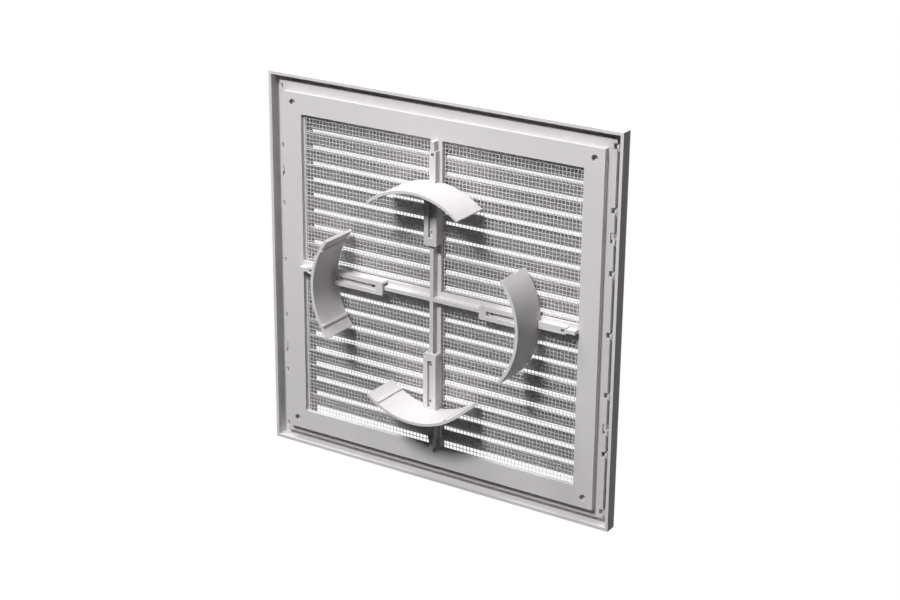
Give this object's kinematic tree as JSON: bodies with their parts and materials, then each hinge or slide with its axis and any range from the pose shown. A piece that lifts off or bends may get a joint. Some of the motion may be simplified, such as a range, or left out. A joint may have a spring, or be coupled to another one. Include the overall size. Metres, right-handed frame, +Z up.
{
  "type": "louvred air grille",
  "caption": "Square louvred air grille with an insect net and a latched-in rear frame, whose sliding petals form an adjustable spigot for a round duct.",
  "frame": {"origin": "centre of the wall plane, in the middle of the four wall screw holes", "axes": "+Y into the wall and the duct, +Z up, +X to the right as seen from the front; the louvred front faces -Y"},
  "size_m": [0.249, 0.037, 0.249],
  "materials": {
    "white_plastic": "moulded white plastic with a soft gloss",
    "net_plastic": "woven pale plastic net"
  },
  "bodies": {
    "grille": {"front_cover": "white_plastic", "insect_net": "net_plastic", "rear_frame": "white_plastic", "left_slat_01": "white_plastic", "left_slat_02": "white_plastic", "left_slat_03": "white_plastic", "left_slat_04": "white_plastic", "left_slat_05": "white_plastic", "left_slat_06": "white_plastic", "left_slat_07": "white_plastic", "left_slat_08": "white_plastic", "left_slat_09": "white_plastic", "left_slat_10": "white_plastic", "left_slat_11": "white_plastic", "left_slat_12": "white_plastic", "left_slat_13": "white_plastic", "left_slat_14": "white_plastic", "left_slat_15": "white_plastic", "left_slat_16": "white_plastic", "left_slat_17": "white_plastic", "left_slat_18": "white_plastic", "left_slat_19": "white_plastic", "right_slat_01": "white_plastic", "right_slat_02": "white_plastic", "right_slat_03": "white_plastic", "right_slat_04": "white_plastic", "right_slat_05": "white_plastic", "right_slat_06": "white_plastic", "right_slat_07": "white_plastic", "right_slat_08": "white_plastic", "right_slat_09": "white_plastic", "right_slat_10": "white_plastic", "right_slat_11": "white_plastic", "right_slat_12": "white_plastic", "right_slat_13": "white_plastic", "right_slat_14": "white_plastic", "right_slat_15": "white_plastic", "right_slat_16": "white_plastic", "right_slat_17": "white_plastic", "right_slat_18": "white_plastic", "right_slat_19": "white_plastic"},
    "right_petal": {"right_petal": "white_plastic"},
    "top_petal": {"top_petal": "white_plastic"},
    "left_petal": {"left_petal": "white_plastic"},
    "bottom_petal": {"bottom_petal": "white_plastic"}
  },
  "joints": [
    {"name": "right_petal_slide", "type": "slide", "parent": "grille", "child": "right_petal", "axis": [1, 0, 0], "range_m": [-0.025, 0.025]},
    {"name": "top_petal_slide", "type": "slide", "parent": "grille", "child": "top_petal", "axis": [0, 0, 1], "range_m": [-0.025, 0.025]},
    {"name": "left_petal_slide", "type": "slide", "parent": "grille", "child": "left_petal", "axis": [-1, 0, 0], "range_m": [-0.025, 0.025]},
    {"name": "bottom_petal_slide", "type": "slide", "parent": "grille", "child": "bottom_petal", "axis": [0, 0, -1], "range_m": [-0.025, 0.025]}
  ]
}
